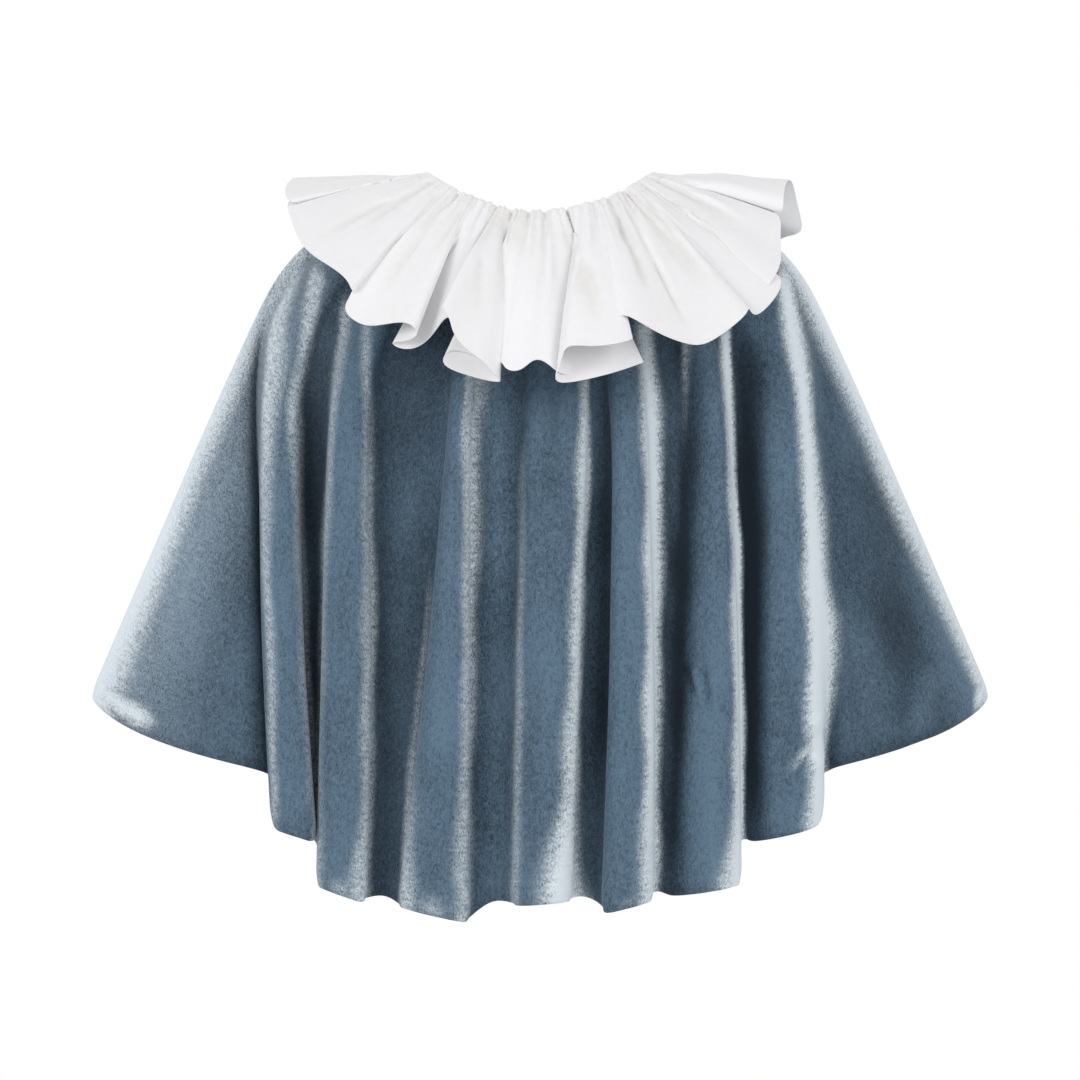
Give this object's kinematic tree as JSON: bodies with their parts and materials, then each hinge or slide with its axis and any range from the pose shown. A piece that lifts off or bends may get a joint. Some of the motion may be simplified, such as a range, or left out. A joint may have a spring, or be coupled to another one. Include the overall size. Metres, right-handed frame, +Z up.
{
  "type": "child's cape",
  "caption": "Short velvet cape for a child, falling in deep soft folds to a curved hem, with a gathered white cotton ruffle round its elastic neck",
  "frame": {"origin": "the middle of the neck opening, level with the top of its sides, where the wearer's neck and shoulders hold the cape up", "axes": "+Z up, -Y towards the wearer's front, +X to the wearer's left"},
  "size_m": [0.4942, 0.2509, 0.4011],
  "materials": {
    "velvet": "dusty blue silk velvet, soft pile with a silvery sheen at the turns of its folds",
    "cotton": "crisp white plain-weave cotton"
  },
  "bodies": {
    "root": {"cape_front": "velvet", "cape_back": "velvet", "collar_ruffle": "cotton", "neck_casing": "cotton"}
  },
  "joints": []
}
